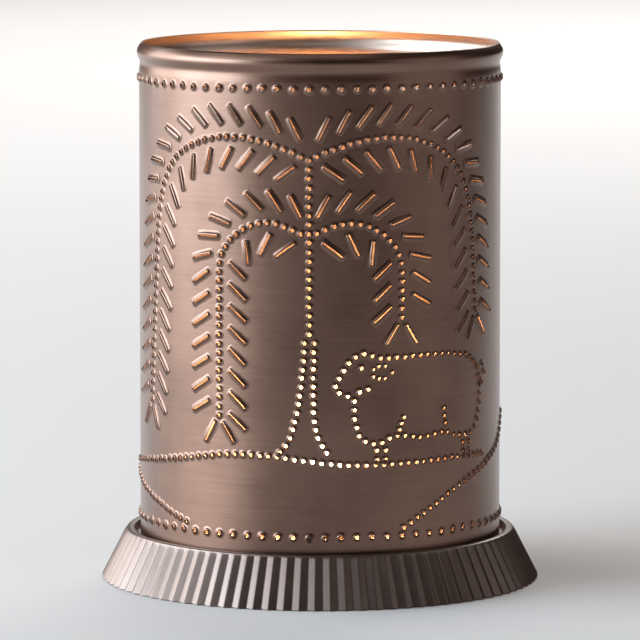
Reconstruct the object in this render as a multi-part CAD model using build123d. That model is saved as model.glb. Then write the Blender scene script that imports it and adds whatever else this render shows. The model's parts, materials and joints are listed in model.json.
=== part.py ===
from build123d import *
import os
from math import atan, atan2, cos, degrees, pi, radians, sin

os.makedirs("parts", exist_ok=True)

# All lengths are millimetres. The lantern stands on z = 0, its willow trunk towards -Y, its seam at +Y.

# Shade
shade_radius = 70.0
shade_flats = 48             # the rolled sheet is drawn in flats, so each punch mark has a plain face round it
shade_top = 208.6
shade_sheet = 0.45
bead_height = 7.0
bead_rise = 3.6
bead_out = 0.9
rim_in = 0.9
seam_width = 6.0

# Punch marks
dot_size = 1.6
slot_length = 9.6
slot_width = 1.1
border_pitch = 6.1
top_border_below_rim = 13.4
bottom_border_height = 25.6
chain_pitch = 4.5
leaf_pitch = 8.2
leaf_offset_outer = 8.6
leaf_offset_inner = 8.0
leaf_start_outer = 10.0      # from the fork to the middle of the first leaf, along the leaves' row
leaf_start_inner = 6.0
leaf_lean_outer = 52.0       # degrees from a level branch, towards its tip
leaf_lean_inner = 62.0
leaf_lean_most = 65.0
leaf_turn_outer_share = -0.5  # of the branch's own slope, added to the lean
leaf_turn_inner_share = 0.15
leaf_lean_tip = 24.0

# Willow, drawn on the unrolled sheet: across from the trunk, and up from the ground
fork_below_rim = 40.1
outer_reach = 71.5
outer_rise = 8.3
outer_turn = 30.5
outer_splay_share = 0.09
inner_fork_drop = 29.0
inner_reach = 36.2
inner_rise = 5.2
inner_turn = 12.5
left_outer_tip = 73.0
left_inner_tip = 71.0
right_tip = 108.5
root_fork_height = 103.0
root_gap = 1.9
root_knee_height = 69.0
left_root_knee = 5.5
left_root_spread = 11.0
right_root_knee = 2.2
right_root_spread = 6.8

# Meadow
ground_height = 54.0
ground_left = 104.0
ground_right = 80.0
bank_left = 53.0
bank_right = 37.0
bank_reach = 110.0

# Sheep
sheep_nose = 9.8
sheep_length = 67.2
sheep_height = 33.7
hoof_gap = 2.6
leg_width = 3.6

# Base pan
pan_top = 19.6
pan_floor = 16.0
pan_sheet = 0.5
skirt_lift = 0.4
flute_count = 90
flute_valley_share = 0.983
recess_gap = 2.2
shoulder_land = 3.4
skirt_flare = 9.8
disc_sides = 36

# Fixings of the shade
shade_lift = 0.6
tab_count = 3
tab_width = 6.0
tab_sheet = 0.8
tab_rise = 12.0
tab_foot = 12.0
screw_inset = 7.4
screw_radius = 1.5
head_radius = 2.75
head_height = 1.6
flat_head_height = 0.9
screw_grip = 6.0
post_across = 5.5

# Underside
felt_thickness = 1.2
felt_inset = 5.0
plate_thickness = 0.8
head_clearance = 0.9

# Lampholder
holder_radius = 9.5
holder_height = 20.4
holder_floor = 3.4
shell_sheet = 0.5
shell_short = 1.0
strap_sheet = 1.0
strap_width = 14.0
strap_height = 5.0
strap_half = 18.0
ear_reach = 9.0
nipple_radius = 4.8
nipple_bore = 3.4
nipple_entry = 2.6
nipple_nut_across = 13.0
nipple_nut_height = 2.0
washer_radius = 7.5
washer_thickness = 0.6
nut_height = 2.4
contact_sheet = 0.4
contact_width = 4.0
contact_half = 4.6
contact_rise = 1.1
rivet_radius = 0.8
rivet_head_radius = 1.4
rivet_length = 0.7
terminal_width = 5.0
terminal_height = 5.0
terminal_sheet = 0.6
terminal_shank = 1.2

# Bulb
bulb_length = 54.0
bulb_radius = 11.0
cap_radius = 5.9
cap_sheet = 0.25
cap_end = 13.0
cap_tip_radius = 1.6
cap_tip_height = 1.0
insulator_height = 1.6
glass_wall = 0.6
neck_entry = 2.4
stem_radius = 2.2
stem_height = 13.0
filament_height = 33.0
filament_half = 6.0
wire_radius = 0.3

# Inlet
inlet_bore = 3.2
inlet_waist = 4.4
inlet_flange = 6.2
inlet_flange_thickness = 1.2

# Shared
fit = 0.05                   # between a piece and the hole that it fits
thread_fit = 0.12            # between the lamp cap and its shell
gap = 0.3                    # between neighbours that stay apart
overrun = 3.0                # how far a cut runs past what it cuts
small_sides = 12             # corners of the small round pieces
screw_sides = 8
wire_sides = 6

fork_height = shade_top - fork_below_rim
floor_under = pan_floor - pan_sheet
plate_top = felt_thickness + plate_thickness
shade_bottom = pan_floor + shade_lift
recess_radius = shade_radius + recess_gap
shoulder_radius = recess_radius + shoulder_land
skirt_foot_radius = shoulder_radius + skirt_flare
strap_top = strap_height + strap_sheet
holder_bottom = strap_top + washer_thickness
holder_seat = holder_bottom + holder_floor
holder_top = holder_bottom + holder_height
shell_bore = cap_radius + thread_fit
shell_radius = shell_bore + shell_sheet
bulb_bottom = holder_seat + contact_sheet + contact_rise + gap / 2
flare = atan(skirt_flare / (pan_top - skirt_lift))


def prism(outline, bottom, top):
    return extrude(Pos(0, 0, bottom) * outline, top - bottom)


def many_sided(radius, sides):
    """A regular outline with a flat, not a corner, towards each axis."""
    return RegularPolygon(radius, sides, rotation=180 / sides)


def bar(radius, bottom, top, sides=small_sides):
    return prism(many_sided(radius, sides), bottom, top)


def tube(radius, bore, bottom, top, sides=small_sides):
    return bar(radius, bottom, top, sides) - bar(bore, bottom - overrun, top + overrun, sides)


def hexagon(across, bottom, top):
    return prism(RegularPolygon(across / 2, 6, major_radius=False), bottom, top)


def facetted(rings):
    """A solid with flat facets between rings of corners, from the lowest ring up."""
    faces = [make_face(Polyline(*ring, close=True)) for ring in (rings[0], rings[-1])]
    for low, high in zip(rings, rings[1:]):
        for k in range(len(low)):
            faces.append(Face(Wire.make_polygon([low[k - 1], low[k], high[k], high[k - 1]], close=True)))
    return Solid(Shell(faces))


def turned(sections, sides=small_sides):
    """A turned piece through (radius, height) sections, from the bottom up."""
    turns = [pi * (2 * k + 1) / sides for k in range(sides)]
    return facetted([[(r * cos(turn), r * sin(turn), z) for turn in turns] for r, z in sections])


def around(piece, count, start=0.0):
    return [Rot(0, 0, start + k * 360 / count) * piece for k in range(count)]


def group(pieces):
    return Compound(children=list(pieces))


# The picture, as marks on the unrolled sheet. A dot is (across, up) and a slot is (across, up, slant).

def evenly(line, pitch):
    """Places along a line, as near to the pitch as its length allows."""
    steps = max(1, round(line.length / pitch))
    step = line.length / steps
    spots = [line.position_at(k * step, position_mode=PositionMode.LENGTH) for k in range(steps + 1)]
    return [(spot.X, spot.Y) for spot in spots]


def branch_line(fork, reach, rise, turn, splay_share, tip):
    """A branch: up from its fork, over its crown and straight down to its tip."""
    crown_share, shoulder_share, shoulder_drop_share = 0.47, 0.85, 0.10
    arch = Spline(
        (0, fork),
        (reach * crown_share, fork + rise),
        (reach * shoulder_share, fork - turn * shoulder_drop_share),
        (reach, fork - turn),
        tangents=((2 * rise, rise), (splay_share, -1)),
    )
    fall = fork - turn - tip
    return Wire([arch, Line((reach, fork - turn), (reach + splay_share * fall, tip))])


def leaf_row(line, reach):
    """The line through the middles of the leaves on one side of a branch."""
    steps = round(line.length / chain_pitch)
    middles = []
    for k in range(steps + 1):
        length = k * line.length / steps
        spot = line.position_at(length, position_mode=PositionMode.LENGTH)
        way = line.tangent_at(length, position_mode=PositionMode.LENGTH)
        middles.append((spot.X - reach * way.Y, spot.Y + reach * way.X))
    return Polyline(*middles)


def leaves(line):
    """Leaves beside a branch, each leaning on towards its tip, and two more that fan out there."""
    sides = (
        (1, leaf_offset_outer, leaf_start_outer, leaf_lean_outer, leaf_turn_outer_share),
        (-1, leaf_offset_inner, leaf_start_inner, leaf_lean_inner, leaf_turn_inner_share),
    )
    marks = []
    for side, offset, start, level_lean, turn_share in sides:
        row = leaf_row(line, side * offset)
        for k in range(int((row.length - start) / leaf_pitch)):
            spot = row.position_at(start + k * leaf_pitch, position_mode=PositionMode.LENGTH)
            way = row.tangent_at(start + k * leaf_pitch, position_mode=PositionMode.LENGTH)
            heading = degrees(atan2(way.Y, way.X))
            lean = min(leaf_lean_most, level_lean + turn_share * heading)
            marks.append((spot.X, spot.Y, heading + lean * side))
    tip, way = line @ 1, line % 1
    heading, far = degrees(atan2(way.Y, way.X)), slot_length - leaf_pitch / 4
    for side in (1, -1):
        out = heading + leaf_lean_tip * side
        marks.append((tip.X + far * cos(radians(out)), tip.Y + far * sin(radians(out)), out))
    return marks


def flipped(marks):
    """The same marks on the left of the trunk."""
    return [(-m[0], m[1]) if len(m) == 2 else (-m[0], m[1], 180 - m[2]) for m in marks]


def willow():
    outer = (fork_height, outer_reach, outer_rise, outer_turn, outer_splay_share)
    inner = (fork_height - inner_fork_drop, inner_reach, inner_rise, inner_turn, 0)
    marks = evenly(Line((0, fork_height), (0, root_fork_height)), chain_pitch)
    for size, left_tip in ((outer, left_outer_tip), (inner, left_inner_tip)):
        right, left = branch_line(*size, right_tip), branch_line(*size, left_tip)
        marks += evenly(right, chain_pitch)[1:] + leaves(right)
        marks += flipped(evenly(left, chain_pitch)[1:] + leaves(left))
    for side, knee, spread in ((-1, left_root_knee, left_root_spread), (1, right_root_knee, right_root_spread)):
        root = Spline(
            (side * root_gap, root_fork_height - chain_pitch),
            (side * knee, root_knee_height),
            (side * spread, ground_height + chain_pitch),
            tangents=((0, -1), (side, -1)),
        )
        marks += evenly(root, chain_pitch)
    return marks


def meadow():
    """The ground line, and the two banks that fall from it to the bottom border."""
    left_shares, left_height_shares = (-1.0, -0.66, -0.24, 0.17), (0.857, 0.941, 1.048, 0.980)
    right_shares, right_height_shares = (0.71, 1.0), (0.987, 0.972)
    ground = Spline(
        [(ground_left * a, ground_height * h) for a, h in zip(left_shares, left_height_shares)]
        + [(ground_right * a, ground_height * h) for a, h in zip(right_shares, right_height_shares)]
    )
    foot = bottom_border_height + border_pitch / 2
    brow_share, left_end_share = 0.90, left_height_shares[0]
    left_bank = Line((-ground_left, ground_height * left_end_share - chain_pitch), (-bank_left, foot))
    right_bank = Spline(
        (bank_right, foot),
        (ground_right + chain_pitch, ground_height * brow_share),
        (bank_reach, ground_height * brow_share),
        tangents=((1, brow_share / 2), (1, 0)),
    )
    return evenly(ground, chain_pitch) + evenly(left_bank, chain_pitch) + evenly(right_bank, chain_pitch)


def sheep():
    """A grazing sheep's outline, in shares of its length and height from the nose and the brisket."""
    outline_shares = (
        (0.00, 0.66), (0.13, 1.00), (0.28, 0.96), (0.56, 0.97), (0.84, 0.92), (0.95, 0.82), (1.00, 0.61),
        (1.00, 0.31), (0.93, 0.04), (0.78, 0.02), (0.67, 0.08), (0.53, 0.04), (0.36, 0.08), (0.25, 0.00),
        (0.15, 0.06), (0.11, 0.31), (0.10, 0.52), (0.03, 0.57),
    )
    belly = ground_height + 2 * chain_pitch

    def place(across_share, up_share):
        return (sheep_nose + across_share * sheep_length, belly + up_share * sheep_height)

    marks = evenly(Spline([place(*p) for p in outline_shares], periodic=True), chain_pitch)[:-1]
    ear_shares, ear_size_shares, ear_pitch_share = (0.27, 0.80), (0.06, 0.055), 0.8
    ear = Pos(*place(*ear_shares)) * Ellipse(*[sheep_length * s for s in ear_size_shares]).edge()
    marks += evenly(ear, chain_pitch * ear_pitch_share)[:-1]
    eye_share, mouth_shares = (0.15, 0.86), ((0.14, 0.59), (0.19, 0.62))
    marks += [place(*s) for s in (eye_share, *mouth_shares)]
    tail_shares = ((1.04, 0.74), (1.06, 0.65), (1.03, 0.56))
    marks += [place(*s) for s in tail_shares]
    haunch_shares, shoulder_shares = ((0.67, 0.19), (0.68, 0.34)), ((0.38, 0.17), (0.41, 0.30))
    for start, end in (haunch_shares, shoulder_shares):
        marks += evenly(Line(place(*start), place(*end)), chain_pitch)
    leg_shares = (0.24, 0.84)
    for leg_share in leg_shares:
        x = sheep_nose + leg_share * sheep_length
        for side in (0, leg_width):
            marks += [(x + side, belly - hoof_gap), (x + side, belly - hoof_gap - chain_pitch)]
    return marks


def borders():
    count = round(2 * pi * shade_radius / border_pitch)
    heights = (shade_top - top_border_below_rim, bottom_border_height)
    return [(k * 2 * pi * shade_radius / count, height) for height in heights for k in range(count)]


# Shade

def punch(mark, dot, slot):
    """A punch standing square to the wall at its mark."""
    turn = mark[0] / shade_radius
    outward = (sin(turn), -cos(turn), 0)
    origin = (shade_radius * outward[0], shade_radius * outward[1], mark[1])
    place = Plane(origin=origin, x_dir=(cos(turn), sin(turn), 0), z_dir=outward).location
    return place * dot if len(mark) == 2 else place * Rot(0, 0, mark[2]) * slot


def wall_form(inset, end_run):
    bead_bottom = shade_top - bead_height
    radius = shade_radius - inset
    sections = [(radius, shade_bottom - end_run), (radius, bead_bottom)]
    sections += [(radius + bead_out, bead_bottom + bead_rise), (radius - rim_in, shade_top)]
    if end_run:
        sections.append((radius - rim_in, shade_top + end_run))
    return turned(sections, shade_flats)


def make_shade_wall():
    wall = wall_form(0, 0) - wall_form(shade_sheet, overrun)
    inner_flat = (shade_radius - shade_sheet) * cos(pi / shade_flats)
    lap_height = shade_top - bead_height - shade_bottom
    lap = Pos(0, inner_flat, shade_bottom + lap_height / 2) * Box(seam_width, 2 * shade_sheet, lap_height)
    wall += lap & prism(many_sided(shade_radius - shade_sheet / 2, shade_flats), shade_bottom, shade_top)
    dot = extrude(RegularPolygon(dot_size / 2, 3), overrun, both=True)
    slot = extrude(Rectangle(slot_length, slot_width), overrun, both=True)
    marks = willow() + meadow() + sheep() + borders()
    print("dots", sum(len(m) == 2 for m in marks), "slots", sum(len(m) == 3 for m in marks))
    return wall - [punch(mark, dot, slot) for mark in marks]


tab_face = (shade_radius - shade_sheet) * cos(pi / shade_flats) - fit
tab_screw_circle = tab_face - screw_inset
tab_start = -90.0


def make_tabs():
    """Angle tabs, soldered inside the wall and screwed down to the pan."""
    outline = Polyline(
        (tab_face, pan_floor),
        (tab_face, pan_floor + tab_rise),
        (tab_face - tab_sheet, pan_floor + tab_rise),
        (tab_face - tab_sheet, pan_floor + tab_sheet),
        (tab_face - tab_foot, pan_floor + tab_sheet),
        (tab_face - tab_foot, pan_floor),
        close=True,
    )
    tab = extrude(Plane.XZ * make_face(outline), tab_width / 2, both=True)
    tab -= Pos(tab_screw_circle, 0, 0) * bar(screw_radius + fit, 0, shade_top, screw_sides)
    return group(around(tab, tab_count, tab_start))


def screw(seat, length, height):
    """A screw hanging from its seat, its head above it."""
    return bar(head_radius, seat, seat + height, screw_sides) + bar(screw_radius, seat - length, seat, screw_sides)


def make_tab_screws():
    seat = pan_floor + tab_sheet
    piece = Pos(tab_screw_circle, 0, 0) * screw(seat, tab_sheet + pan_sheet + screw_grip, head_height)
    return group(around(piece, tab_count, tab_start))


def make_spacer_posts():
    post = hexagon(post_across, plate_top, floor_under)
    post -= bar(screw_radius + fit, 0, pan_top, screw_sides)
    return group(around(Pos(tab_screw_circle, 0, 0) * post, tab_count, tab_start))


def make_plate_screws():
    """Flat-headed screws from below, their heads in the felt."""
    piece = bar(head_radius, felt_thickness - flat_head_height, felt_thickness, screw_sides)
    piece += bar(screw_radius, felt_thickness, plate_top + screw_grip, screw_sides)
    return group(around(Pos(tab_screw_circle, 0, 0) * piece, tab_count, tab_start))


# Base

def skirt_radius(height):
    """The radius of the flutes' crests at a height of the flared skirt."""
    return skirt_foot_radius - (height - skirt_lift) * skirt_flare / (pan_top - skirt_lift)


def fluted(radius, height):
    """The corners of one level of the skirt: crests and valleys by turns."""
    corners = []
    for k in range(2 * flute_count):
        reach = radius if k % 2 == 0 else radius * flute_valley_share
        corners.append((reach * cos(pi * k / flute_count), reach * sin(pi * k / flute_count), height))
    return corners


inlet_height = pan_top / 2
inlet_place = Plane(
    origin=(0, skirt_radius(inlet_height), inlet_height), x_dir=(1, 0, 0), z_dir=(0, cos(flare), sin(flare))
).location
yoke_screw_reach = strap_half + ear_reach / 2


def lining_radius(height):
    """The corners of the skirt's plain inner side, which touches no valley of the flutes."""
    return skirt_radius(height) * flute_valley_share - pan_sheet / cos(flare)


def make_base_pan():
    """The fluted pan, upside down, with its recess pressed in from above."""
    bottom, under = skirt_lift - overrun, pan_top - pan_sheet
    pan = facetted([fluted(skirt_foot_radius, skirt_lift), fluted(shoulder_radius, pan_top)])
    pan -= turned([(lining_radius(bottom), bottom), (lining_radius(under), under)], disc_sides)
    pan += bar(recess_radius + pan_sheet, floor_under, under + pan_sheet / 2, disc_sides)
    pan -= bar(recess_radius, pan_floor, pan_top + overrun, disc_sides)
    cuts = [bar(holder_radius + gap, 0, pan_top)]
    hole = bar(screw_radius + fit, 0, pan_top, screw_sides)
    cuts += [Pos(side * yoke_screw_reach, 0, 0) * hole for side in (-1, 1)]
    cuts += around(Pos(tab_screw_circle, 0, 0) * hole, tab_count, tab_start)
    cuts.append(inlet_place * bar(inlet_waist + fit, -2 * overrun, overrun))
    return pan - cuts


def make_grommet():
    """A bush square to the flared skirt, its groove over the flutes and the sheet."""
    lining_flat = lining_radius(inlet_height) * cos(pi / disc_sides)
    groove = (skirt_radius(inlet_height) - lining_flat) * cos(flare) + 2 * fit
    bush = bar(inlet_flange, fit, fit + inlet_flange_thickness)
    bush += bar(inlet_waist, -groove, fit)
    bush += bar(inlet_flange, -groove - inlet_flange_thickness, -groove)
    bush -= Cylinder(inlet_bore, 2 * (groove + inlet_flange_thickness + overrun))
    return inlet_place * bush


def make_bottom_plate():
    plate = bar(lining_radius(plate_top) - gap, felt_thickness, plate_top, disc_sides)
    hole = bar(screw_radius + fit, 0, pan_top, screw_sides)
    return plate - around(Pos(tab_screw_circle, 0, 0) * hole, tab_count, tab_start)


def make_felt_pad():
    pad = bar(lining_radius(felt_thickness) - felt_inset, 0, felt_thickness, disc_sides)
    pocket = bar(head_radius + head_clearance, -overrun, pan_top, screw_sides)
    return pad - around(Pos(tab_screw_circle, 0, 0) * pocket, tab_count, tab_start)


# Lampholder

def make_holder_yoke():
    """A strap under the pan: ears, legs and the seat of the lampholder."""
    half = strap_half
    left = [
        (-half - ear_reach, floor_under - strap_sheet),
        (-half, floor_under - strap_sheet),
        (-half, strap_height),
    ]
    inside = [
        (-half + strap_sheet, strap_top),
        (-half + strap_sheet, floor_under),
        (-half - ear_reach, floor_under),
    ]
    right = [(-x, z) for x, z in reversed(left)]
    right_inside = [(-x, z) for x, z in reversed(inside)]
    outline = Polyline(*left, *right, *right_inside, *inside, close=True)
    yoke = extrude(Plane.XZ * make_face(outline), strap_width / 2, both=True)
    yoke -= bar(nipple_radius + fit, 0, holder_bottom)
    hole = bar(screw_radius + fit, 0, pan_top, screw_sides)
    return yoke - [Pos(side * yoke_screw_reach, 0, 0) * hole for side in (-1, 1)]


def make_yoke_screws():
    length = pan_sheet + strap_sheet + nut_height + fit
    return group(Pos(side * yoke_screw_reach, 0, 0) * screw(pan_floor, length, head_height) for side in (-1, 1))


def make_yoke_nuts():
    top = floor_under - strap_sheet
    nut = hexagon(post_across, top - nut_height, top) - bar(screw_radius + fit, 0, pan_top, screw_sides)
    return group(Pos(side * yoke_screw_reach, 0, 0) * nut for side in (-1, 1))


def make_nipple():
    return tube(nipple_radius, nipple_bore, plate_top + gap, holder_bottom + nipple_entry)


def make_nipple_nut():
    nut = hexagon(nipple_nut_across, strap_height - nipple_nut_height, strap_height)
    return nut - bar(nipple_radius + fit, 0, holder_bottom)


def make_lock_washer():
    return tube(washer_radius, nipple_radius + fit, strap_top, holder_bottom)


rivet_across = -(contact_half - rivet_head_radius)
terminal_bottom = holder_bottom + fit
terminal_face = holder_radius * cos(pi / small_sides)
terminal_screw_height = terminal_bottom + terminal_height / 2


def terminal_pair(piece):
    """A piece on the back face of the lampholder and its twin on the front."""
    return around(piece, 2)


def terminal_screw_bar(radius, inner, outer):
    return Pos(0, 0, terminal_screw_height) * Rot(-90, 0, 0) * bar(radius, inner, outer, screw_sides)


def make_holder_body():
    body = bar(holder_radius, holder_bottom, holder_top)
    body -= bar(shell_radius + fit, holder_seat, holder_top + overrun)
    body -= bar(nipple_radius + fit, 0, holder_bottom + nipple_entry + fit)
    body -= Pos(rivet_across, 0, 0) * bar(rivet_radius + fit, holder_seat - rivet_length - fit, holder_top, screw_sides)
    slot = Box(terminal_width + 2 * fit, 2 * (terminal_sheet + fit), terminal_height + 2 * fit)
    body -= terminal_pair(Pos(0, terminal_face, terminal_screw_height) * slot)
    shank = terminal_screw_bar(terminal_shank + fit, shell_radius + gap, terminal_face)
    return body - terminal_pair(shank)


def make_screw_shell():
    return tube(shell_radius, shell_bore, holder_seat, holder_top - shell_short)


def make_centre_contact():
    """A spring tongue: riveted foot, rising middle and the flat that meets the lamp."""
    foot_share, rise_share = 0.10, 0.75
    low, high = holder_seat, holder_seat + contact_rise
    upper = [
        (-contact_half, low + contact_sheet),
        (-contact_half * foot_share, low + contact_sheet),
        (contact_half * rise_share / 2, high + contact_sheet),
        (contact_half * rise_share, high + contact_sheet),
    ]
    lower = [(x, z - contact_sheet) for x, z in reversed(upper)]
    tongue = extrude(Plane.XZ * make_face(Polyline(*upper, *lower, close=True)), contact_width / 2, both=True)
    return tongue - Pos(rivet_across, 0, 0) * bar(rivet_radius + fit, 0, holder_top, screw_sides)


def make_contact_rivet():
    seat = holder_seat + contact_sheet
    rivet = bar(rivet_radius, holder_seat - rivet_length, seat, screw_sides)
    rivet += bar(rivet_head_radius, seat, seat + contact_sheet, screw_sides)
    return Pos(rivet_across, 0, 0) * rivet


def make_terminal_plates():
    plate = Pos(0, terminal_face - terminal_sheet / 2, terminal_screw_height) * Box(
        terminal_width, terminal_sheet, terminal_height
    )
    return group(terminal_pair(plate - terminal_screw_bar(terminal_shank + fit, 0, holder_radius + overrun)))


def make_terminal_screws():
    piece = terminal_screw_bar(terminal_shank, shell_radius + 2 * gap, terminal_face)
    piece += terminal_screw_bar(head_radius, terminal_face, terminal_face + head_height)
    return group(terminal_pair(piece))


# Bulb

cap_bottom = bulb_bottom + cap_tip_height + insulator_height
cap_top = bulb_bottom + cap_end
neck_radius = cap_radius - cap_sheet - fit
neck_bottom = cap_top - neck_entry


def make_bulb_glass():
    """A small torpedo bulb: neck, swelling belly and rounded tip."""
    width_shares = (neck_radius / bulb_radius, 0.80, 1.00, 0.93, 0.62, 0.14)
    height_shares = (0.07, 0.25, 0.45, 0.65, 0.88, 1.00)
    tall = bulb_bottom + bulb_length - neck_bottom
    outer = [(neck_radius, neck_bottom)]
    outer += [(bulb_radius * w, neck_bottom + tall * h) for w, h in zip(width_shares, height_shares)]
    inner = [(neck_radius - glass_wall, neck_bottom - overrun)]
    inner += [(radius - glass_wall, height) for radius, height in outer[1:-1]]
    inner.append((outer[-1][0], outer[-1][1] - glass_wall))
    return turned(outer) - turned(inner)


def make_bulb_cap():
    return tube(cap_radius, cap_radius - cap_sheet, cap_bottom, cap_top)


def make_cap_insulator():
    return turned([(cap_tip_radius + gap, bulb_bottom + cap_tip_height), (cap_radius - cap_sheet, cap_bottom)])


def make_cap_contact():
    return turned([(cap_tip_radius / 2, bulb_bottom), (cap_tip_radius, bulb_bottom + cap_tip_height)], screw_sides)


stem_top = neck_bottom + stem_height
filament_level = bulb_bottom + filament_height


def make_glass_stem():
    flange = (neck_radius - glass_wall - fit, neck_bottom)
    return turned([flange, (stem_radius, neck_bottom + neck_entry), (stem_radius, stem_top)], screw_sides)


def make_lead_wires():
    """Two leads from the stem's top out to the filament's ends."""
    leads = []
    for side in (-1, 1):
        ends = ((stem_radius / 2, stem_top), (filament_half, filament_level - wire_radius))
        leads.append(loft([Pos(side * x, 0, z) * RegularPolygon(wire_radius, wire_sides) for x, z in ends], ruled=True))
    return group(leads)


def make_filament():
    return Pos(0, 0, filament_level) * Rot(0, 90, 0) * bar(wire_radius, -filament_half, filament_half, wire_sides)


nodes = {
    "shade_wall": make_shade_wall,
    "shade_tabs": make_tabs,
    "tab_screws": make_tab_screws,
    "base_pan": make_base_pan,
    "spacer_posts": make_spacer_posts,
    "bottom_plate": make_bottom_plate,
    "plate_screws": make_plate_screws,
    "felt_pad": make_felt_pad,
    "cord_grommet": make_grommet,
    "holder_yoke": make_holder_yoke,
    "yoke_screws": make_yoke_screws,
    "yoke_nuts": make_yoke_nuts,
    "threaded_nipple": make_nipple,
    "nipple_nut": make_nipple_nut,
    "lock_washer": make_lock_washer,
    "holder_body": make_holder_body,
    "screw_shell": make_screw_shell,
    "centre_contact": make_centre_contact,
    "contact_rivet": make_contact_rivet,
    "terminal_plates": make_terminal_plates,
    "terminal_screws": make_terminal_screws,
    "bulb_glass": make_bulb_glass,
    "bulb_cap": make_bulb_cap,
    "cap_insulator": make_cap_insulator,
    "cap_contact": make_cap_contact,
    "glass_stem": make_glass_stem,
    "lead_wires": make_lead_wires,
    "filament": make_filament,
}

for name, make in nodes.items():
    export_step(make(), f"parts/{name}.step")
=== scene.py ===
import bpy, bmesh, json, math, random
from mathutils import Matrix, Vector
from mathutils.geometry import interpolate_bezier


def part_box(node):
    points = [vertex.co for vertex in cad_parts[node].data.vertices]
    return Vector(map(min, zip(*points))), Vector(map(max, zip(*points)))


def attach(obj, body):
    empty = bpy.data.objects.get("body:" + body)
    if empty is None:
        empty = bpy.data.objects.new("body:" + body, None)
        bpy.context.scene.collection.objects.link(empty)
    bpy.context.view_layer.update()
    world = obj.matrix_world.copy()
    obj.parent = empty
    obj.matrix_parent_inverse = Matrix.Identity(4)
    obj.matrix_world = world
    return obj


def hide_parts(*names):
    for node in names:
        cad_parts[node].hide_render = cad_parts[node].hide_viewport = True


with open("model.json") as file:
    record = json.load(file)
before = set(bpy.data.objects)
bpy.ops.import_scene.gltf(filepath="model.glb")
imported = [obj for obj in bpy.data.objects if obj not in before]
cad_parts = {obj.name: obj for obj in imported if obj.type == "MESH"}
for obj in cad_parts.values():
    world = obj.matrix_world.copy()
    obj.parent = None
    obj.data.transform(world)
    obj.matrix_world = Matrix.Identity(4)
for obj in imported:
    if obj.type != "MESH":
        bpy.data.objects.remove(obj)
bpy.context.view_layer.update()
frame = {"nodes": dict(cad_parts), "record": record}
mm = 0.001
handWork = random.Random(41)  # the small unevenness of marks struck by hand
print("frame loaded:", len(frame["nodes"]), "nodes")


# Working by hand, in code

def pickUp(*things):
    if bpy.context.object and bpy.context.object.mode != "OBJECT":
        bpy.ops.object.mode_set(mode="OBJECT")
    bpy.ops.object.select_all(action="DESELECT")
    for thing in things:
        thing.select_set(True)
    bpy.context.view_layer.objects.active = things[0]


def openUp(thing):
    pickUp(thing)
    bpy.ops.object.mode_set(mode="EDIT")
    bpy.ops.mesh.select_mode(type="VERT")
    bpy.ops.mesh.select_all(action="DESELECT")


def choose(thing, rule):  # selects the points of an open mesh that the rule takes
    net = bmesh.from_edit_mesh(thing.data)
    for point in net.verts:
        point.select_set(bool(rule(point.co)))
    net.select_flush_mode()
    bmesh.update_edit_mesh(thing.data)


def chooseEdges(thing, rule):
    net = bmesh.from_edit_mesh(thing.data)
    for edge in net.edges:
        edge.select_set(bool(rule(edge.verts[0].co, edge.verts[1].co)))
    net.select_flush_mode()
    bmesh.update_edit_mesh(thing.data)


def putDown(smoothAngle=None):
    bpy.ops.object.mode_set(mode="OBJECT")
    if smoothAngle is not None:
        bpy.ops.object.shade_smooth_by_angle(angle=math.radians(smoothAngle))


def ringed(rings, radius=0.0, height=0.0):  # rings told in millimetres, outwards and upwards from a place
    return [(radius + out * mm, height + up * mm) for out, up in rings]


def drawUp(name, rings, sides, ends="open", smoothAngle=40):  # rings are (radius, height), in order along the piece
    radius, height = rings[0]
    bpy.ops.object.select_all(action="DESELECT")
    bpy.ops.mesh.primitive_circle_add(vertices=sides, radius=radius, location=(0, 0, 0))
    piece = bpy.context.object
    piece.name = name
    openUp(piece)
    bpy.ops.mesh.select_all(action="SELECT")
    bpy.ops.transform.translate(value=(0, 0, height))
    for wide, high in rings[1:]:
        bpy.ops.mesh.extrude_region_move(TRANSFORM_OT_translate={"value": (0, 0, high - height)})
        bpy.ops.transform.resize(value=(wide / radius, wide / radius, 1), center_override=(0, 0, high))
        radius, height = wide, high
    if ends == "tip":
        bpy.ops.mesh.merge(type="CENTER")
    bpy.ops.mesh.select_all(action="SELECT")
    if ends == "closed":
        bpy.ops.mesh.fill_holes(sides=0)
    if ends == "ring":  # the last ring is the first again
        bpy.ops.mesh.remove_doubles(threshold=0.001 * mm)
    bpy.ops.mesh.normals_make_consistent(inside=False)
    putDown(smoothAngle)
    return piece


def block(name, size, middle):  # left open, to be shaped further
    bpy.ops.object.select_all(action="DESELECT")
    bpy.ops.mesh.primitive_cube_add(size=1, location=(0, 0, 0))
    piece = bpy.context.object
    piece.name = name
    openUp(piece)
    bpy.ops.mesh.select_all(action="SELECT")
    bpy.ops.transform.resize(value=size)
    bpy.ops.transform.translate(value=middle)
    return piece


def finishWith(piece, kind, **settings):
    pickUp(piece)
    modifier = piece.modifiers.new(kind.title(), kind)
    for key, value in settings.items():
        setattr(modifier, key, value)
    bpy.ops.object.modifier_apply(modifier=modifier.name)


def copiesOf(model, places):  # each copy has its own mesh, with its place in it
    twins = []
    for place in places:
        twin = model.copy()
        twin.data = model.data.copy()
        twin.data.transform(place)
        bpy.context.collection.objects.link(twin)
        twins.append(twin)
    return twins


def joined(name, things):
    pickUp(*things)
    bpy.ops.object.join()
    bpy.context.object.name = name
    return bpy.context.object


def discard(*things):
    pickUp(*things)
    bpy.ops.object.delete()


def cutAway(piece, tool, smoothAngle):
    finishWith(piece, "BOOLEAN", operation="DIFFERENCE", object=tool, solver="EXACT")
    bpy.ops.object.shade_smooth_by_angle(angle=math.radians(smoothAngle))
    discard(tool)


# Shader sums: a wrapped socket takes part in plain expressions

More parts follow.
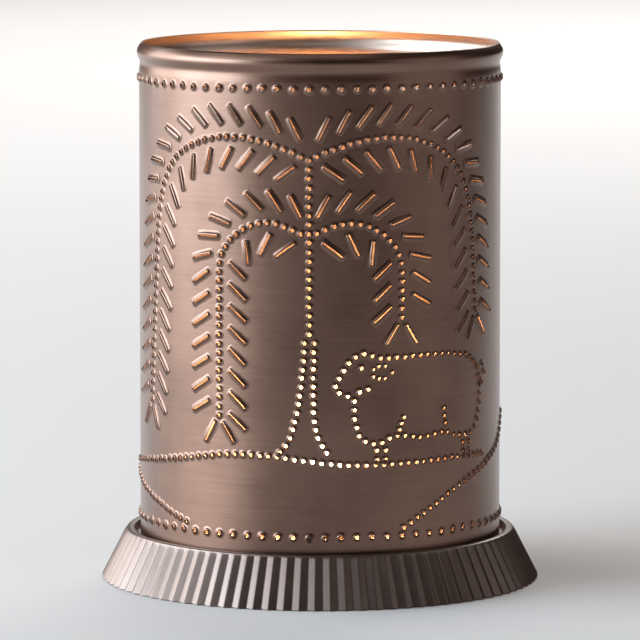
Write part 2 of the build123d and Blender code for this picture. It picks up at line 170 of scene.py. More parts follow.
class Flow:
    def __init__(self, tree, socket=None):
        self.tree, self.socket = tree, socket

    def node(self, kind, settings=None, inputs=None, output=0):
        made = self.tree.nodes.new("ShaderNode" + kind)
        for key, value in (settings or {}).items():
            if key == "stops":
                ramp = made.color_ramp
                while len(ramp.elements) < len(value):
                    ramp.elements.new(1.0)
                for stop, (position, colour) in zip(ramp.elements, value):
                    stop.position, stop.color = position, (*colour, 1.0)
            else:
                setattr(made, key, value)
        for key, value in (inputs or {}).items():
            if isinstance(value, Flow):
                self.tree.links.new(value.socket, made.inputs[key])
            else:
                made.inputs[key].default_value = value
        return Flow(self.tree, made.outputs[output] if made.outputs else None)

    def sum(self, operation, first, second):
        return self.node("Math", {"operation": operation}, {0: first, 1: second})

    def __add__(self, other): return self.sum("ADD", self, other)
    def __radd__(self, other): return self.sum("ADD", other, self)
    def __sub__(self, other): return self.sum("SUBTRACT", self, other)
    def __rsub__(self, other): return self.sum("SUBTRACT", other, self)
    def __mul__(self, other): return self.sum("MULTIPLY", self, other)
    def __rmul__(self, other): return self.sum("MULTIPLY", other, self)

    def blend(self, first, second):  # self is the share of the second colour
        return self.node("Mix", {"data_type": "RGBA"}, {0: self, 6: (*first, 1), 7: (*second, 1)}, output=2)


def newMaterial(name):
    material = bpy.data.materials.new(name)
    material.use_nodes = True
    material.node_tree.nodes.clear()
    return material, Flow(material.node_tree)


def surface(flow, **inputs):
    named = {key.replace("_", " "): value for key, value in inputs.items()}
    shader = flow.node("BsdfPrincipled", {}, named)
    flow.node("OutputMaterial", {}, {"Surface": shader})


# Each tin: its colour where the blackening is rubbed thin, its colour where it isn't, its roughness, and how close
# the brush marks lie across x, y and z: level round the sheet, and up and down the pan's flutes

tins = {
    "antiquedTin": ((0.265, 0.150, 0.106), (0.138, 0.071, 0.046), 0.37, (26, 26, 1500)),
    "tinInside": ((0.74, 0.62, 0.54), (0.50, 0.40, 0.33), 0.42, (26, 26, 1500)),
    "panTin": ((0.235, 0.176, 0.154), (0.158, 0.116, 0.102), 0.44, (700, 700, 40)),
}
tinFinish = {
    "cloudScale": 26.0,
    "speckScale": 900.0,
    "colourStops": (0.12, 0.9),        # full blackening up to the first, none from the second
    "colourShares": (0.6, 1.3),        # how much the brush marks and the clouds change the colour
    "roughnessShares": (0.10, 0.12),   # and the roughness
    "speckRelief": 0.25,
    "relief": (0.16, 0.10 * mm),
    "lacquer": 0.8,
    "lacquerRoughness": 0.26,
}


def tinMaterial(name):
    worn, blackened, roughness, closeness = tins[name]
    material, flow = newMaterial(name)
    place = flow.node("TexCoord", output=3)
    drawn = flow.node("Mapping", {}, {"Vector": place, "Scale": closeness})
    lines = flow.node("TexNoise", {}, {"Vector": drawn, "Scale": 1.0, "Detail": 4.0, "Roughness": 0.65})
    clouds = flow.node("TexNoise", {}, {"Vector": place, "Scale": tinFinish["cloudScale"], "Detail": 3.0,
                                        "Roughness": 0.55})
    specks = flow.node("TexNoise", {}, {"Vector": place, "Scale": tinFinish["speckScale"], "Detail": 2.0})
    lineShare, cloudShare = tinFinish["colourShares"]
    rubbed = (lines - 0.5) * lineShare + (clouds - 0.5) * cloudShare + 0.5
    blackEnd, wornStart = tinFinish["colourStops"]
    colour = flow.node("ValToRGB", {"stops": [(blackEnd, blackened), (wornStart, worn)]}, {"Fac": rubbed})
    relief = lines * (1 - tinFinish["speckRelief"]) + specks * tinFinish["speckRelief"]
    strength, depth = tinFinish["relief"]
    bump = flow.node("Bump", {}, {"Height": relief, "Strength": strength, "Distance": depth})
    lineShare, cloudShare = tinFinish["roughnessShares"]
    rough = roughness + (clouds - 0.5) * cloudShare + (lines - 0.5) * lineShare
    surface(flow, Base_Color=colour, Metallic=1.0, Roughness=rough, Normal=bump, Coat_Weight=tinFinish["lacquer"],
            Coat_Roughness=tinFinish["lacquerRoughness"])
    return material


def plainMaterial(name, colour, roughness, metallic=0.0, grain=400.0, spread=0.25, relief=0.05 * mm):
    material, flow = newMaterial(name)
    place = flow.node("TexCoord", output=3)
    mottle = flow.node("TexNoise", {}, {"Vector": place, "Scale": grain, "Detail": 3.0})
    deep = tuple(channel * (1 - spread) for channel in colour)
    high = tuple(min(1.0, channel * (1 + spread)) for channel in colour)
    bump = flow.node("Bump", {}, {"Height": mottle, "Strength": 0.3, "Distance": relief})
    surface(flow, Base_Color=mottle.blend(deep, high), Metallic=metallic,
            Roughness=roughness + (mottle - 0.5) * 0.2, Normal=bump)
    return material


bulbGlow = {
    "colour": (1.0, 0.54, 0.23),
    "glass": 5.0,
    "glassHeat": ((0.0, (1.0, 0.78, 0.48)), (0.45, (1.0, 0.50, 0.17)), (1.0, (0.45, 0.13, 0.02))),
    "filament": 90.0,
    "filamentHeat": ((1.0, 0.6, 0.25), (1.0, 0.8, 0.5)),
    "lamp": 1.05,             # watts of light
    "lampRadius": 5 * mm,
    "height": 44.6 * mm,
    "reach": 24 * mm,         # from the filament to where the glass is dimmest
}


def glowingGlass():
    material, flow = newMaterial("litGlass")
    place = flow.node("TexCoord", output=3)
    height = flow.node("SeparateXYZ", {}, {"Vector": place}, output=2)
    away = flow.sum("ABSOLUTE", (height - bulbGlow["height"]) * (1 / bulbGlow["reach"]), 0.0)
    heat = flow.node("ValToRGB", {"stops": bulbGlow["glassHeat"]}, {"Fac": away})
    surface(flow, Base_Color=(1.0, 0.93, 0.82, 1), Roughness=0.12, Alpha=0.35,
            Emission_Color=heat, Emission_Strength=bulbGlow["glass"])
    return material


def glowingWire():
    material, flow = newMaterial("litTungsten")
    place = flow.node("TexCoord", output=3)
    mottle = flow.node("TexNoise", {}, {"Vector": place, "Scale": 3000.0})
    surface(flow, Base_Color=(0.3, 0.3, 0.32, 1), Metallic=1.0, Roughness=0.4,
            Emission_Color=mottle.blend(*bulbGlow["filamentHeat"]), Emission_Strength=bulbGlow["filament"])
    return material


tinOutside, tinInside, tinPan = (tinMaterial(name) for name in tins)
finishes = {
    "dark_tin": tinPan,
    "zinc_steel": plainMaterial("zincSteel", (0.52, 0.52, 0.53), 0.35, metallic=1.0, grain=700),
    "felt": plainMaterial("greenFelt", (0.03, 0.045, 0.035), 0.95, grain=1800, spread=0.5, relief=0.4 * mm),
    "bush_rubber": plainMaterial("bushRubber", (0.02, 0.02, 0.021), 0.6, grain=900),
    "holder_moulding": plainMaterial("brownMoulding", (0.055, 0.035, 0.026), 0.38, grain=500),
    "brass": plainMaterial("brass", (0.72, 0.50, 0.20), 0.28, metallic=1.0, grain=500, spread=0.12),
    "lamp_glass": glowingGlass(),
    "insulator": plainMaterial("capInsulator", (0.02, 0.02, 0.03), 0.2),
    "solder": plainMaterial("solder", (0.62, 0.62, 0.62), 0.4, metallic=1.0, grain=1500),
    "tungsten": glowingWire(),
}
slotOf = {part["node"]: part["material_slot"] for part in frame["record"]["subparts"]}
for part in frame["record"]["subparts"]:
    node = frame["nodes"][part["node"]]
    for holder in node.material_slots:
        holder.material = finishes[part["material_slot"]]
print("finishes made:", len(bpy.data.materials))


def cover(piece, slotName, *materials):
    piece.data.materials.clear()
    for material in materials:
        piece.data.materials.append(material)


# The picture, as marks on the unrolled sheet: (across, up, slant or None for a dot, size)

picture = {
    "chainPitch": 3.4 * mm,
    "borderPitch": 6.0 * mm,
    "borderSize": 1.08,
    "closest": 1.9 * mm,
    "wander": 0.16 * mm,
    "slantWander": 2.5,
    "dotSizes": (0.93, 1.07),
    "slotSizes": (0.97, 1.03),
    "forkBelowRim": 40.1 * mm,
    "innerForkDrop": 29.0 * mm,
    "outerArch": (71.5 * mm, 8.3 * mm, 30.5 * mm, 0.09),   # reach, rise, turn, splay of the fall
    "innerArch": (36.2 * mm, 5.2 * mm, 12.5 * mm, 0.0),
    "archCrown": 0.47,                 # share of the reach
    "archShoulder": (0.85, 0.10),      # shares of the reach and of the turn
    "leftTips": (73.0 * mm, 71.0 * mm),
    "rightTip": 108.5 * mm,
    "leafPitch": 8.2 * mm,
    "leafLength": 9.6 * mm,
    "leafRows": (        # side, offset, start, run past the tip, lean from a level branch, share of its slope added
        (1, 8.6 * mm, 10.0 * mm, 0.5 * mm, 52, -0.5),
        (-1, 8.0 * mm, 6.0 * mm, 4.5 * mm, 62, 0.15),
    ),
    "mostLean": 59,
    "tipLean": 32,
    "rootFork": 103.0 * mm,
    "roots": ((-1, 5.5 * mm, 11.0 * mm), (1, 2.2 * mm, 6.8 * mm)),
    "rootGap": 1.9 * mm,
    "rootKnee": 69.0 * mm,
    "rootEnd": 58.0 * mm,
}
meadow = (      # the ground and its two banks, in mm
    ((-104, 46.3), (-68.6, 50.8), (-25, 56.6), (17.7, 52.9), (56.8, 53.3), (80, 52.5)),
    ((-104, 43.0), (-53, 28.6)),
    ((37, 28.6), (60, 40.5), (84, 48.9), (98, 54.5), (112, 65.0)),
)
sheep = {       # pairs are shares of its length and height, from its nose and belly
    "nose": 9.8 * mm,
    "belly": 61.0 * mm,
    "length": 67.2 * mm,
    "height": 33.7 * mm,
    "outline": ((0.00, 0.66), (0.13, 1.00), (0.28, 0.96), (0.56, 0.97), (0.84, 0.92), (0.95, 0.82), (1.00, 0.61),
                (1.00, 0.31), (0.93, 0.04), (0.78, 0.02), (0.67, 0.08), (0.53, 0.04), (0.36, 0.08), (0.25, 0.00),
                (0.15, 0.06), (0.11, 0.31), (0.10, 0.52), (0.03, 0.57)),
    "face": ((0.15, 0.86), (0.14, 0.59), (0.19, 0.62)),
    "tail": ((1.04, 0.78), (1.06, 0.68), (1.03, 0.58)),
    "legLines": ((0.375, 0.14), (0.39, 0.21), (0.405, 0.28), (0.69, 0.17), (0.683, 0.255), (0.68, 0.34)),
    "ear": ((0.27, 0.80), (0.062, 0.072)),
    "earDots": 10,
    "earDotSize": 0.72,
    "legs": (0.24, 0.84),
    "legWidth": 3.6 * mm,
    "hoofGap": 2.6 * mm,
}


def smoothLine(points, firstWay=None, lastWay=None, closed=False):
    spots = [Vector((x, y)) for x, y in points]
    count = len(spots)
    ways = []
    for k in range(count):
        before = spots[k - 1] if k or closed else spots[k]
        after = spots[(k + 1) % count] if k < count - 1 or closed else spots[k]
        ways.append((after - before).normalized())
    if firstWay:
        ways[0] = Vector(firstWay).normalized()
    if lastWay:
        ways[-1] = Vector(lastWay).normalized()
    line = []
    for k in range(count if closed else count - 1):
        start, end = spots[k], spots[(k + 1) % count]
        reach = (end - start).length / 3
        line += interpolate_bezier(start, start + ways[k] * reach, end - ways[(k + 1) % count] * reach, end, 24)[:-1]
    return line + [spots[0] if closed else spots[-1]]


def walk(line, pitch, start=None):  # places and headings along a line, fitted to it unless a start is given
    length = sum((b - a).length for a, b in zip(line, line[1:]))
    if start is None:
        start, steps = 0.0, max(1, round(length / pitch))
        pitch = length / steps
    else:
        steps = int((length - start) / pitch)
    places, gone, due = [], 0.0, start
    for a, b in zip(line, line[1:]):
        part = (b - a).length
        while due <= gone + part + 1e-9 and len(places) <= steps:
            spot = a + (b - a) * ((due - gone) / part if part else 0)
            places.append((spot, math.degrees(math.atan2(b.y - a.y, b.x - a.x))))
            due += pitch
        gone += part
    return places


def chain(line, closed=False):
    places = walk(line, picture["chainPitch"])
    return [(spot.x, spot.y, None, 1.0) for spot, heading in (places[:-1] if closed else places)]


def archLine(fork, arch, tip):
    reach, rise, turn, splay = arch
    along, down = picture["archShoulder"]
    top = [(0, fork), (reach * picture["archCrown"], fork + rise), (reach * along, fork - turn * down),
           (reach, fork - turn)]
    fall = (reach + splay * (fork - turn - tip), tip)
    return smoothLine(top, firstWay=(2, 1), lastWay=(splay, -1)) + [Vector(fall)]


def leavesOf(line):
    marks = []
    finely = walk(line, picture["chainPitch"])
    for side, offset, start, past, levelLean, slopeShare in picture["leafRows"]:
        row = []
        for spot, heading in finely:
            out = math.radians(heading + 90)
            row.append(spot + Vector((math.cos(out), math.sin(out))) * offset * side)
        row.append(row[-1] + (row[-1] - row[-2]).normalized() * past)
        for spot, heading in walk(row, picture["leafPitch"], start):
            lean = min(picture["mostLean"], levelLean + slopeShare * heading)
            marks.append((spot.x, spot.y, heading + lean * side, 1.0))
    tip, heading = finely[-1]
    far = picture["leafLength"] - picture["leafPitch"] / 4
    for side in (1, -1):
        slant = heading + picture["tipLean"] * side
        out = math.radians(slant)
        marks.append((tip.x + far * math.cos(out), tip.y + far * math.sin(out), slant, 1.0))
    return marks


def leftward(marks):
    return [(-x, y, None if slant is None else 180 - slant, size) for x, y, slant, size in marks]


def willowMarks(rim):
    fork = rim - picture["forkBelowRim"]
    marks = chain([Vector((0, fork)), Vector((0, picture["rootFork"]))])
    forks = (fork, fork - picture["innerForkDrop"])
    for start, arch, leftTip in zip(forks, (picture["outerArch"], picture["innerArch"]), picture["leftTips"]):
        for tip, turnOver in ((picture["rightTip"], list), (leftTip, leftward)):
            line = archLine(start, arch, tip)
            marks += turnOver(chain(line)[1:] + leavesOf(line))
    for side, knee, spread in picture["roots"]:
        marks += chain(smoothLine([
            (side * picture["rootGap"], picture["rootFork"] - picture["chainPitch"]),
            (side * knee, picture["rootKnee"]),
            (side * spread, picture["rootEnd"])], firstWay=(0, -1), lastWay=(side, -1)))
    return marks


def meadowMarks():
    return [mark for line in meadow for mark in chain(smoothLine([(x * mm, y * mm) for x, y in line]))]


def sheepMarks():
    def at(along, up):
        return sheep["nose"] + along * sheep["length"], sheep["belly"] + up * sheep["height"]

    marks = chain(smoothLine([at(*share) for share in sheep["outline"]], closed=True), closed=True)
    (earAlong, earUp), (earLong, earHigh) = sheep["ear"]
    for k in range(sheep["earDots"]):
        turn = math.tau * k / sheep["earDots"]
        marks.append((*at(earAlong + earLong * math.cos(turn), earUp + earHigh * math.sin(turn)), None,
                      sheep["earDotSize"]))
    marks += [(*at(*share), None, 1.0) for name in ("face", "tail", "legLines") for share in sheep[name]]
    for leg in sheep["legs"]:
        x, belly = at(leg, 0)
        marks += [(x + side, belly - sheep["hoofGap"] - row * picture["chainPitch"], None, 1.0)
                  for side in (0, sheep["legWidth"]) for row in (0, 1)]
    return marks


def borderMarks(radius, heights):
    count = round(math.tau * radius / picture["borderPitch"])
    return [(k * math.tau * radius / count, height, None, picture["borderSize"])
            for height in heights for k in range(count)]


def spacedOut(marks):  # no mark is struck on top of another
    kept = []
    for mark in marks:
        if all(math.dist(mark[:2], other[:2]) > picture["closest"] for other in kept):
            kept.append(mark)
    return kept


def placeOf(mark, radius):  # where a mark's piece stands, square to the rolled sheet
    across, up, slant, size = mark
    wander = picture["wander"]
    turn = (across + handWork.uniform(-wander, wander)) / radius
    up += handWork.uniform(-wander, wander)
    outward = Vector((math.sin(turn), -math.cos(turn), 0))
    along = Vector((math.cos(turn), math.sin(turn), 0))
    stand = Matrix((along, Vector((0, 0, 1)), outward)).transposed().to_4x4()
    if slant is None:
        spin = handWork.uniform(0, 360)
        size *= handWork.uniform(*picture["dotSizes"])
    else:
        spin = slant + handWork.uniform(-picture["slantWander"], picture["slantWander"])
        size *= handWork.uniform(*picture["slotSizes"])
    return (Matrix.Translation(outward * radius + Vector((0, 0, up))) @ stand
            @ Matrix.Rotation(math.radians(spin), 4, "Z") @ Matrix.Scale(size, 4))


# Shade wall

wallLow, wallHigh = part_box("shade_wall")
shade = {
    "radius": 70.0 * mm,
    "sheet": 0.45 * mm,
    "columns": 360,
    "bottom": wallLow.z,
    "top": wallHigh.z,
    "footBand": 0.4 * mm,
    "beadBelowRim": 11.4 * mm,
    "bead": ((0.0, -10.6), (-0.22, -9.2), (-0.38, -7.8), (-0.22, -6.6), (0.42, -5.5), (0.78, -4.4), (0.84, -3.4),
             (0.62, -2.4), (-0.08, -1.2), (-0.55, -0.5), (-0.86, 0.0)),   # mm out from the wall, mm from the rim
    "topBorderBelowRim": 13.4 * mm,
    "bottomBorder": 25.6 * mm,
    "lap": (6.0 * mm, 1.4, 1.6),       # the inner end of the sheet: width, thickness and depth, in sheets
    "lapBelowRim": 10.6 * mm,
    "lapRound": 0.12 * mm,
    "edge": (3.0 * mm, 0.22 * mm),     # the outer end of the sheet, as wide as it is dressed down, and how proud
    "edgeFall": 1.2,                   # its dressed side lies this much lower, as a share of that
    "dotHole": 0.84 * mm,
    "slotHole": 0.60 * mm,
    "punchReach": 1.5 * mm,
    "punchSides": 10,
    "dotRings": ((0.84, -0.45), (0.68, 0.50), (0.78, 0.74), (0.94, 0.68), (1.12, 0.36), (1.32, 0.16), (1.65, 0.05),
                 (2.1, -0.03)),        # mm from the middle, mm out from the wall, from inside the hole outwards
    "dotSides": 12,
    "slotRings": ((0.46, -0.45), (0.30, 0.60), (0.44, 0.78), (0.76, 0.70), (0.98, 0.40), (1.22, 0.17), (1.65, 0.05),
                  (2.2, -0.03)),
    "slotSides": 14,
    "skirtUnder": (0.6, -0.45),        # where a burr's skirt ends inside the sheet
    "chiselEnds": 1.2 * mm,
    "blunt": 0.6,
}


def lengthened(piece, length):  # parts a round piece down its middle, so it becomes as long as a chisel's mark
    openUp(piece)
    for side in (-1, 1):
        choose(piece, lambda point: point.x * side > 0.001 * mm)
        bpy.ops.transform.resize(value=(shade["blunt"], 1, 1), center_override=(0, 0, 0))
        bpy.ops.transform.translate(value=(side * length / 2, 0, 0))
    putDown(40)
    return piece


def punch(name, hole):
    return drawUp(name, [(hole, -shade["punchReach"]), (hole, shade["punchReach"])], shade["punchSides"],
                  ends="closed")


def burr(name, rings, sides):
    inward, under = shade["skirtUnder"]
    return drawUp(name, ringed((*rings, (rings[-1][0] - inward, under), rings[0])), sides, ends="ring")


def shapeShade():
    radius, bottom, top = shade["radius"], shade["bottom"], shade["top"]
    even = [(radius, height) for height in (bottom, bottom + shade["footBand"], top - shade["beadBelowRim"])]
    wall = drawUp("shadeWall", even + ringed(shade["bead"], radius, top), shade["columns"], smoothAngle=35)
    finishWith(wall, "SOLIDIFY", thickness=shade["sheet"], offset=-1)

    borders = (top - shade["topBorderBelowRim"], shade["bottomBorder"])
    marks = spacedOut(borderMarks(radius, borders) + willowMarks(top) + sheepMarks() + meadowMarks())
    dots = [placeOf(mark, radius) for mark in marks if mark[2] is None]
    slots = [placeOf(mark, radius) for mark in marks if mark[2] is not None]
    straight = picture["leafLength"] - shade["chiselEnds"]

    dotPunch = punch("dotPunch", shade["dotHole"])
    slotPunch = lengthened(punch("slotPunch", shade["slotHole"]), straight)
    punches = joined("punches", copiesOf(dotPunch, dots) + copiesOf(slotPunch, slots))
    bpy.ops.object.shade_smooth_by_angle(angle=math.radians(35))
    unpunched = copiesOf(wall, [Matrix.Identity(4)])[0]
    cutAway(wall, punches, 35)
    finishWith(wall, "DATA_TRANSFER", object=unpunched, use_loop_data=True, data_types_loops={"CUSTOM_NORMAL"},
               loop_mapping="POLYINTERP_NEAREST")   # the sheet stays evenly round between its holes

    dotBurr = burr("dotBurr", shade["dotRings"], shade["dotSides"])
    slotBurr = lengthened(burr("slotBurr", shade["slotRings"], shade["slotSides"]), straight)
    dotBurrs = joined("dotBurrs", copiesOf(dotBurr, dots))
    slotBurrs = joined("slotBurrs", copiesOf(slotBurr, slots))
    discard(unpunched, dotPunch, slotPunch, dotBurr, slotBurr)
    print("punched:", len(dots), "dots and", len(slots), "slots;", len(wall.data.polygons), "wall faces")
    return wall, dotBurrs, slotBurrs


def shapeLap():  # the inner end of the rolled sheet, soldered behind the outer end
    wide, thick, deep = shade["lap"]
    height = shade["top"] - shade["lapBelowRim"] - shade["bottom"]
    lap = block("seamLap", (wide, shade["sheet"] * thick, height),
                (0, shade["radius"] - shade["sheet"] * deep, shade["bottom"] + height / 2))
    bpy.ops.mesh.bevel(offset=shade["lapRound"], segments=2)
    putDown(40)
    return lap


def shapeEdge():  # the outer end of the rolled sheet
    wide, proud = shade["edge"]
    height = shade["top"] - shade["beadBelowRim"] - shade["bottom"]
    edge = block("seamEdge", (wide, proud, height),
                 (0, shade["radius"] + proud / 2, shade["bottom"] + height / 2))
    choose(edge, lambda point: point.x < 0)
    bpy.ops.transform.translate(value=(0, -shade["edgeFall"] * proud, 0))
    putDown(20)
    return edge


wall, dotBurrs, slotBurrs = shapeShade()
lap, edge = shapeLap(), shapeEdge()
cover(wall, "dark_tin", tinOutside, tinInside)
for face in wall.data.polygons:
    inward = Vector((face.center.x, face.center.y, 0)).dot(face.normal) < -1e-4
    face.material_index = 1 if inward else 0
for piece in (dotBurrs, slotBurrs, edge):
    cover(piece, "dark_tin", tinOutside)
cover(lap, "dark_tin", tinInside)
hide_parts("shade_wall")
for piece in (wall, dotBurrs, slotBurrs, lap, edge):
    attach(piece, "lantern")
print("shade shaped")


# Base pan

panLow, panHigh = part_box("base_pan")
pan = {
    "flutes": 90,
    "valley": 0.983,
    "sheet": 0.5 * mm,
    "foot": panHigh.x - 0.1 * mm,
    "lift": panLow.z,
    "top": panHigh.z,
    "flare": 9.8 / 19.2,
    "fullFlute": 2.2 * mm,      # the flutes are full up to this far below the top
    "brow": ((0.25, -1.0, 0.75), (-0.35, -0.3, 0.3)),   # mm out from the skirt's line, mm from the top, share of
                                                        # the flutes' depth
    "land": ((-1.1, 0.0),),     # these four are mm outwards and mm up from where each begins
    "recessTop": ((0.8, 0.0), (0.2, -0.25), (0.0, -0.8)),
    "recessFoot": ((0.0, 0.6), (-0.2, 0.15), (-0.7, 0.0)),
    "holeEdge": ((0.6, 0.0), (0.0, -0.4)),
    "recess": 72.2 * mm,
    "floor": 16.0 * mm,
    "holderHole": 9.8 * mm,
    "round": 0.34 * mm,
}


def shapePan():
    foot, lift, top, recess, floor = (pan[key] for key in ("foot", "lift", "top", "recess", "floor"))

    def skirt(height):
        return foot - (height - lift) * pan["flare"]

    full = top - pan["fullFlute"]
    fluted = [(skirt(lift), lift, 1.0), (skirt(full), full, 1.0)]
    fluted += [(skirt(top) + out * mm, top + up * mm, share) for out, up, share in pan["brow"]]
    plain = (ringed(pan["land"], skirt(top), top) + ringed(pan["recessTop"], recess, top)
             + ringed(pan["recessFoot"], recess, floor) + ringed(pan["holeEdge"], pan["holderHole"], floor))
    piece = drawUp("flutedPan", [ring[:2] for ring in fluted] + plain, 2 * pan["flutes"], smoothAngle=30)

    def inValley(point):
        turn = math.degrees(math.atan2(point.y, point.x)) / (360 / pan["flutes"])
        return abs(turn - math.floor(turn) - 0.5) < 0.1

    openUp(piece)
    for radius, height, share in fluted:
        choose(piece, lambda point: abs(point.z - height) < 0.02 * mm and inValley(point)
               and point.xy.length > recess + mm)
        close = 1 - (1 - pan["valley"]) * share
        bpy.ops.transform.resize(value=(close, close, 1), center_override=(0, 0, height))
    bpy.ops.mesh.select_mode(type="EDGE")
    chooseEdges(piece, lambda a, b: abs(a.z - b.z) > 0.2 * mm and min(a.xy.length, b.xy.length) > recess + mm
                and max(a.z, b.z) < top - 0.5 * mm and abs(a.xy.angle_signed(b.xy)) < 1e-3)
    bpy.ops.mesh.bevel(offset=pan["round"], segments=2, affect="EDGES")
    bpy.ops.mesh.select_all(action="SELECT")
    bpy.ops.mesh.normals_make_consistent(inside=False)
    putDown(30)
    finishWith(piece, "SOLIDIFY", thickness=pan["sheet"], offset=-1)
    bpy.ops.object.shade_smooth_by_angle(angle=math.radians(30))
    return piece


flutedPan = shapePan()
cover(flutedPan, "dark_tin", tinPan)
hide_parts("base_pan")
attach(flutedPan, "lantern")
print("pan shaped:", len(flutedPan.data.polygons), "faces")


# Fixings and underside

fixings = {
    "circle": 61.95 * mm,
    "turns": (-90, 30, 150),
    "tabScrew": ((1.2, 9.5), (1.5, 9.9), (1.5, 16.8), (2.6, 16.8), (2.72, 17.0), (2.72, 17.5), (2.5, 17.95),
                 (1.9, 18.25), (0.9, 18.38)),          # radius and height in mm
    "plateScrew": ((2.3, 0.32), (2.65, 0.42), (2.72, 0.65), (2.72, 1.2), (1.5, 1.2), (1.5, 7.6), (1.2, 8.0)),
    "screwSides": 32,
    "slot": (8.0 * mm, 0.7 * mm, 1.0 * mm),
    "tabSlot": 18.4 * mm,
    "plateSlot": 0.3 * mm,
    "felt": 77.8 * mm,
    "feltEdge": ((-0.3, 0.0), (0.0, 0.25), (0.0, 0.95), (-0.3, 1.2)),
    "pocket": 3.65 * mm,
    "plate": 82.1 * mm,
    "plateEdge": ((-0.1, 1.2), (0.0, 1.3), (0.0, 1.9), (-0.1, 2.0)),
    "discSides": 144,
    "bush": ((3.2, -2.1), (3.4, -2.25), (5.95, -2.25), (6.2, -2.0), (6.2, -1.3), (5.95, -1.07), (4.4, -1.07),
             (4.4, 1.07), (5.95, 1.07), (6.2, 1.3), (6.12, 1.75), (5.7, 2.1), (4.9, 2.26), (3.8, 2.26),
             (3.35, 2.1), (3.2, 1.8)),
    "bushSides": 48,
    "bushLean": 27.04,
}


def screwPlaces():
    return [Matrix.Rotation(math.radians(turn), 4, "Z") @ Matrix.Translation((fixings["circle"], 0, 0))
            for turn in fixings["turns"]]


def shapeScrews(name, rings, slotHeight):
    model = drawUp(name + "Model", ringed(rings), fixings["screwSides"], ends="closed", smoothAngle=35)
    slotTool = block("slotTool", fixings["slot"], (0, 0, slotHeight))
    putDown()
    cutAway(model, slotTool, 35)
    places = [place @ Matrix.Rotation(handWork.uniform(0, math.pi), 4, "Z") for place in screwPlaces()]
    screws = joined(name, copiesOf(model, places))
    discard(model)
    return screws


def shapeFelt():
    pad = drawUp("feltPad", ringed(fixings["feltEdge"], fixings["felt"]), fixings["discSides"], ends="closed",
                 smoothAngle=50)
    model = drawUp("pocketModel", [(fixings["pocket"], -mm), (fixings["pocket"], 2 * mm)], fixings["screwSides"],
                   ends="closed")
    pockets = joined("pockets", copiesOf(model, screwPlaces()))
    cutAway(pad, pockets, 50)
    discard(model)
    return pad


def shapePlate():
    return drawUp("bottomPlate", ringed(fixings["plateEdge"], fixings["plate"]), fixings["discSides"],
                  ends="closed", smoothAngle=50)


def shapeBush():  # stands square to the flared skirt
    bush = drawUp("cordBush", ringed((*fixings["bush"], fixings["bush"][0])), fixings["bushSides"], ends="ring",
                  smoothAngle=50)
    low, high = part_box("cord_grommet")
    bush.data.transform(Matrix.Translation((low + high) / 2)
                        @ Matrix.Rotation(math.radians(fixings["bushLean"] - 90), 4, "X"))
    return bush


for piece, node in ((shapeScrews("tabScrews", fixings["tabScrew"], fixings["tabSlot"]), "tab_screws"),
                    (shapeScrews("plateScrews", fixings["plateScrew"], fixings["plateSlot"]), "plate_screws"),
                    (shapeFelt(), "felt_pad"), (shapePlate(), "bottom_plate"), (shapeBush(), "cord_grommet")):
    cover(piece, slotOf[node], finishes[slotOf[node]])
    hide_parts(node)
    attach(piece, "lantern")
print("fixings shaped")


# Bulb

glassLow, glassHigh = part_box("bulb_glass")
bulb = {
    "radius": 11.0 * mm,
    "sides": 48,
    "shares": ((0.52, 0.0), (0.52, 0.07), (0.80, 0.25), (1.0, 0.45), (0.93, 0.65), (0.62, 0.88), (0.02, 1.0)),
}


def shapeBulb():
    tall = glassHigh.z - glassLow.z
    outline = smoothLine([(wide * bulb["radius"], glassLow.z + high * tall) for wide, high in bulb["shares"]],
                         firstWay=(0, 1), lastWay=(-1, 0.05))
    rings = [(point.x, point.y) for point in outline[::4]] + [tuple(outline[-1])]
    return drawUp("bulbGlass", rings, bulb["sides"], ends="tip", smoothAngle=60)


bulbGlass = shapeBulb()
cover(bulbGlass, "lamp_glass", finishes["lamp_glass"])
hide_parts("bulb_glass")
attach(bulbGlass, "bulb")
print("bulb shaped")


# Studio

studio = {
    "distance": 2.073,
    "height": 0.3486,
    "azimuth": 3.32,
    "tilt": 6.834,
    "lens": 301.9,
    "sensor": 36.0,
    "clip": (0.05, 20.0),
    "floorRadius": 7.0,
    "floorColours": ((0.91, 0.905, 0.90), (0.93, 0.925, 0.92)),
    "worldColour": (1.0, 0.45, 0.30),
    "worldStrength": 0.025,
    "softboxes": (
        # name, place, what it faces, width, height, watts, colour
        ("leftSoftbox", (-2.40, -0.77, 0.68), (0, 0, 0.11), 2.43, 1.42, 84.0, (0.87, 1.0, 1.10)),
        ("farLeftBox", (-2.34, 0.94, 0.74), (0, 0, 0.11), 1.62, 1.42, 29.0, (0.96, 0.94, 0.92)),
        ("rightFill", (2.43, -0.65, 0.82), (0, 0, 0.11), 2.52, 1.60, 6.5, (1.0, 0.96, 0.95)),
        ("topSoft", (0, -0.4, 1.7), (0, 0, 0.11), 1.4, 1.4, 3.5, (1.0, 0.96, 0.93)),
        ("highLeftBox", (-1.0, -0.65, 1.1), (0, 0, 0.2), 1.2, 0.6, 3.4, (0.92, 1.0, 1.08)),
        ("floorLight", (0.2, 3.0, 1.9), (0, 2.6, 0), 2.8, 2.4, 64.0, (1.0, 0.98, 0.96)),
    ),
}


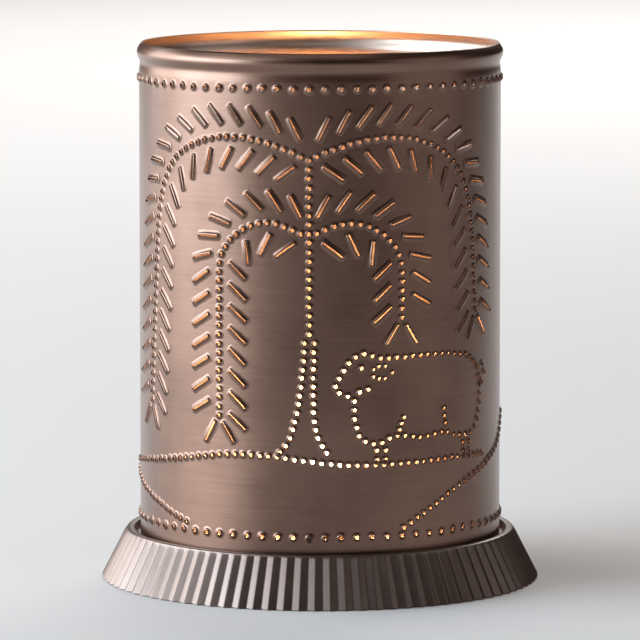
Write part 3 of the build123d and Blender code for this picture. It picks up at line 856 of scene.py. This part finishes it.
def setCamera():
    turn = math.radians(studio["azimuth"])
    camera = bpy.data.objects.new("camera", bpy.data.cameras.new("camera"))
    bpy.context.collection.objects.link(camera)
    camera.location = (studio["distance"] * math.sin(turn), -studio["distance"] * math.cos(turn), studio["height"])
    camera.rotation_euler = (math.radians(90 - studio["tilt"]), 0, turn)
    camera.data.lens, camera.data.sensor_width = studio["lens"], studio["sensor"]
    camera.data.clip_start, camera.data.clip_end = studio["clip"]
    bpy.context.scene.camera = camera


def setLights():
    for name, place, aim, width, height, watts, colour in studio["softboxes"]:
        bpy.ops.object.select_all(action="DESELECT")
        bpy.ops.object.light_add(type="AREA", location=place)
        box = bpy.context.object
        box.name = name
        box.rotation_euler = (Vector(aim) - Vector(place)).to_track_quat("-Z", "Y").to_euler()
        box.data.shape, box.data.size, box.data.size_y = "RECTANGLE", width, height
        box.data.energy, box.data.color = watts, colour
    bpy.ops.object.select_all(action="DESELECT")
    bpy.ops.object.light_add(type="POINT", location=(0, 0, bulbGlow["height"]))
    lamp = bpy.context.object
    lamp.name = "bulbLamp"
    lamp.data.energy, lamp.data.color = bulbGlow["lamp"], bulbGlow["colour"]
    lamp.data.shadow_soft_size = bulbGlow["lampRadius"]


def setWorld():
    world = bpy.data.worlds.new("studioWorld")
    bpy.context.scene.world = world
    world.use_nodes = True
    world.node_tree.nodes.clear()
    flow = Flow(world.node_tree)
    light = flow.node("Background", {}, {"Color": (*studio["worldColour"], 1), "Strength": studio["worldStrength"]})
    flow.node("OutputWorld", {}, {"Surface": light})


def setFloor():
    bpy.ops.object.select_all(action="DESELECT")
    bpy.ops.mesh.primitive_circle_add(vertices=96, radius=studio["floorRadius"], fill_type="NGON",
                                      location=(0, 0, 0))
    floor = bpy.context.object
    floor.name = "studioFloor"
    material, flow = newMaterial("paleFloor")
    place = flow.node("TexCoord", output=3)
    mottle = flow.node("TexNoise", {}, {"Vector": place, "Scale": 3.0})
    surface(flow, Base_Color=mottle.blend(*studio["floorColours"]), Roughness=0.9)
    floor.data.materials.append(material)


setCamera()
setLights()
setWorld()
setFloor()
bpy.context.scene.view_settings.view_transform = "Standard"
print("studio set")
